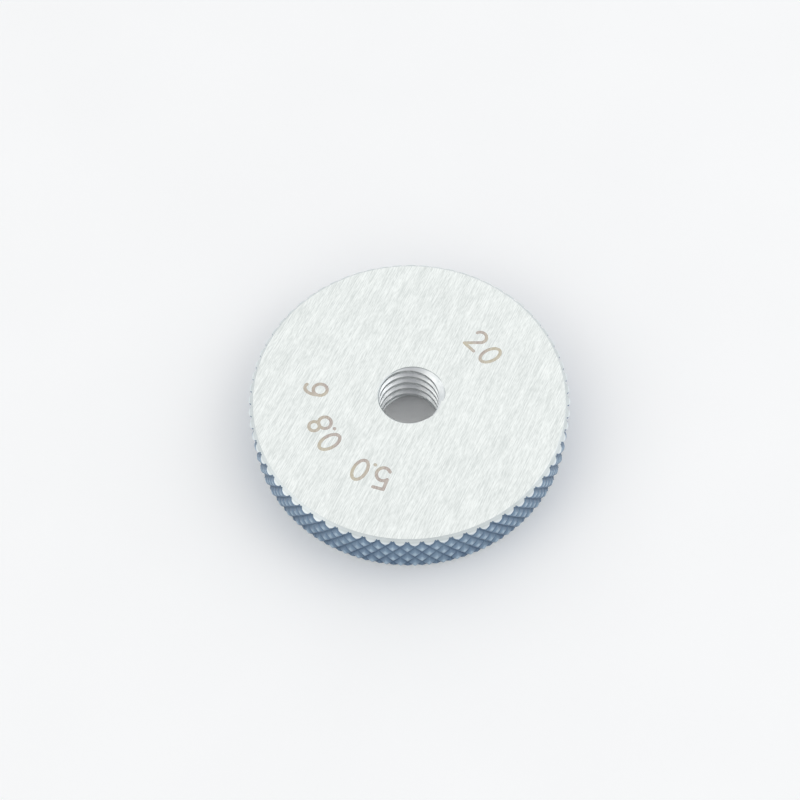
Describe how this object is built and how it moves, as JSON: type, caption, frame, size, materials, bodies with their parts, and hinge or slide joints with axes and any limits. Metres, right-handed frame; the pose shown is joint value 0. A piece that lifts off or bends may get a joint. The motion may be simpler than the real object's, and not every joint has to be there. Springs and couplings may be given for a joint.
{
  "type": "thread ring gauge",
  "caption": "Flat steel disc with a diamond-knurled rim, small chamfers and a threaded bore through its middle, for checking an external metric thread.",
  "frame": {"origin": "on the bore's axis, in the lower face, on which the ring stands", "axes": "+Z along the bore, towards the upper, marked face; +Y away from a viewer who reads the ring as it is pictured, +X to that viewer's right"},
  "size_m": [0.022, 0.022, 0.004],
  "materials": {
    "ground_steel": "satin"
  },
  "bodies": {
    "root": {"gauge_ring": "ground_steel"}
  },
  "joints": []
}
